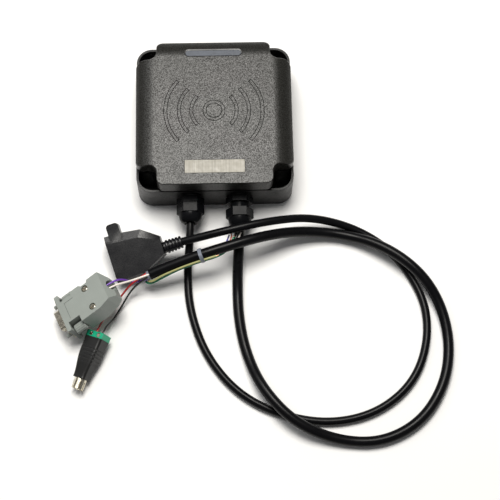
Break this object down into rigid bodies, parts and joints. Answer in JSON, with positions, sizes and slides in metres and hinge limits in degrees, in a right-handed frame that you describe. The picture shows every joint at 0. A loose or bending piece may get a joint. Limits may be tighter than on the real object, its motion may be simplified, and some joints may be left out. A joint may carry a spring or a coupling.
{
  "type": "rfid card reader",
  "caption": "Square wall-mount RFID card reader with a notched cover, cable glands, and free leads ending in a network socket, a serial plug and a power adapter.",
  "frame": {"origin": "centre of the case's back face, which lies on the table and goes against the wall", "axes": "+Z out of the front face, +Y towards the top edge, away from the cable glands, +X to the right seen from the front"},
  "size_m": [0.3009, 0.3132, 0.0461],
  "materials": {
    "case_grey": "fine moulded texture",
    "base_black": "satin",
    "rubber_black": "matt",
    "window": "clear, glossy",
    "label": "satin, blank",
    "steel": "zinc plated",
    "board_green": "solder mask",
    "ceramic": "matt",
    "nickel": "nickel plated",
    "gland_nylon": "satin nylon",
    "jacket_black": "satin PVC",
    "socket_black": "moulded PVC",
    "hood_grey": "moulded",
    "insulator_white": "moulded",
    "adapter_black": "satin",
    "terminal_green": "moulded",
    "wire_red": "PVC",
    "wire_black": "PVC",
    "wire_white": "PVC",
    "wire_purple": "PVC",
    "wire_green": "PVC",
    "wire_yellow": "PVC",
    "tie_clear": "translucent nylon"
  },
  "bodies": {
    "reader": {"adapter_body": "adapter_black", "adapter_pin": "nickel", "adapter_shell": "nickel", "antenna_ground": "nickel", "antenna_patch": "ceramic", "antenna_pin": "nickel", "base_housing": "base_black", "board_connectors": "terminal_green", "board_screws": "steel", "buzzer": "jacket_black", "cable_tie": "tie_clear", "control_cable": "jacket_black", "cover_gasket": "rubber_black", "cover_screws": "steel", "dsub_contacts": "nickel", "dsub_insulator": "insulator_white", "dsub_shell": "nickel", "ethernet_cable": "jacket_black", "front_cover": "case_grey", "hood_lower": "hood_grey", "hood_nuts": "nickel", "hood_screws": "nickel", "hood_upper": "hood_grey", "label_plate": "label", "left_gland_body": "gland_nylon", "left_gland_locknut": "gland_nylon", "left_gland_seal": "rubber_black", "left_gland_washer": "rubber_black", "main_board": "board_green", "rf_shield": "nickel", "right_gland_body": "gland_nylon", "right_gland_locknut": "gland_nylon", "right_gland_seal": "rubber_black", "right_gland_washer": "rubber_black", "socket_contacts": "nickel", "socket_insert": "insulator_white", "socket_relief": "socket_black", "socket_shell": "socket_black", "status_leds": "insulator_white", "terminal_block": "terminal_green", "terminal_screws": "nickel", "window_lens": "window", "wire_black": "wire_black", "wire_clamp": "nickel", "wire_green": "wire_green", "wire_purple": "wire_purple", "wire_red": "wire_red", "wire_white": "wire_white", "wire_yellow": "wire_yellow"},
    "left_gland_nut": {"left_gland_nut": "gland_nylon"},
    "right_gland_nut": {"right_gland_nut": "gland_nylon"},
    "upper_jackscrew": {"upper_jackscrew": "hood_grey"},
    "lower_jackscrew": {"lower_jackscrew": "hood_grey"}
  },
  "joints": [
    {"name": "left_gland_turn", "type": "hinge", "parent": "reader", "child": "left_gland_nut", "pos_m": [-0.0193, -0.075, 0.017], "axis": [0, -1, 0], "continuous": true},
    {"name": "right_gland_turn", "type": "hinge", "parent": "reader", "child": "right_gland_nut", "pos_m": [0.0183, -0.075, 0.017], "axis": [0, -1, 0], "continuous": true},
    {"name": "upper_jackscrew_turn", "type": "hinge", "parent": "reader", "child": "upper_jackscrew", "pos_m": [-0.11427, -0.13877, 0.00987], "axis": [-0.8138, -0.4698, -0.342], "continuous": true},
    {"name": "lower_jackscrew_turn", "type": "hinge", "parent": "reader", "child": "lower_jackscrew", "pos_m": [-0.10359, -0.16313, 0.01795], "axis": [-0.8138, -0.4698, -0.342], "continuous": true}
  ]
}
